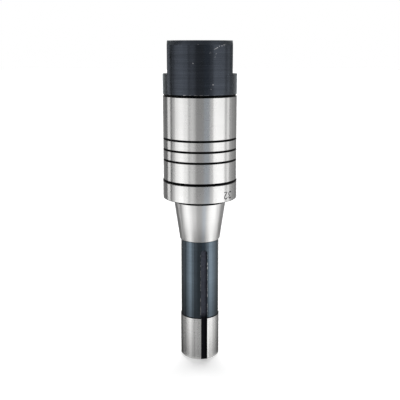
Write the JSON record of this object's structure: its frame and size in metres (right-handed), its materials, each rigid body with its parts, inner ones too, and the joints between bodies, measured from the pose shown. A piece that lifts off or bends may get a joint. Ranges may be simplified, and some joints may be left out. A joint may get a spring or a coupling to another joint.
{
  "type": "slitting saw arbor",
  "caption": "Milling machine arbor with an R8 taper shank and flange, a keyed saw seat under a stack of ground spacers, and a black clamping nut with wrench flats.",
  "frame": {"origin": "centre of the shank's small end, on the axis", "axes": "+Z along the axis from the small end to the clamping nut; -Y is the front, from which the shank's keyway is turned 13.4 degrees towards +X; the nut's wrench flats face -X and +X"},
  "size_m": [0.045, 0.045, 0.1979],
  "materials": {
    "ground_steel": "ground steel",
    "black_steel": "black oxide on turned steel"
  },
  "bodies": {
    "arbor": {"arbor_body": "ground_steel", "drive_key": "ground_steel"},
    "thin_ring": {"thin_spacer": "black_steel"},
    "half_inch_ring": {"half_inch_spacer": "ground_steel"},
    "lower_quarter_ring": {"lower_quarter_spacer": "ground_steel"},
    "upper_quarter_ring": {"upper_quarter_spacer": "ground_steel"},
    "one_inch_ring": {"one_inch_spacer": "ground_steel"},
    "nut": {"clamp_nut": "black_steel"}
  },
  "joints": [
    {"name": "thin_slide", "type": "slide", "parent": "arbor", "child": "thin_ring", "axis": [0, 0, 1], "range_m": [0, 0.00551]},
    {"name": "half_inch_slide", "type": "slide", "parent": "arbor", "child": "half_inch_ring", "axis": [0, 0, 1], "range_m": [0, 0.01101]},
    {"name": "lower_quarter_slide", "type": "slide", "parent": "arbor", "child": "lower_quarter_ring", "axis": [0, 0, 1], "range_m": [0, 0.01652]},
    {"name": "upper_quarter_slide", "type": "slide", "parent": "arbor", "child": "upper_quarter_ring", "axis": [0, 0, 1], "range_m": [0, 0.02202]},
    {"name": "one_inch_slide", "type": "slide", "parent": "arbor", "child": "one_inch_ring", "axis": [0, 0, 1], "range_m": [0, 0.02752]},
    {"name": "nut_turn", "type": "hinge", "parent": "one_inch_ring", "child": "nut", "pos_m": [0, 0, 0.1822], "axis": [0, 0, 1], "range_deg": [0, 4680]}
  ],
  "couplings": [
    {"joint": "one_inch_slide", "follows": "nut_turn", "m_per_rad": 0.00033688},
    {"joint": "upper_quarter_slide", "follows": "nut_turn", "m_per_rad": 0.0002695},
    {"joint": "lower_quarter_slide", "follows": "nut_turn", "m_per_rad": 0.00020213},
    {"joint": "half_inch_slide", "follows": "nut_turn", "m_per_rad": 0.00013475},
    {"joint": "thin_slide", "follows": "nut_turn", "m_per_rad": 0.000067376}
  ]
}
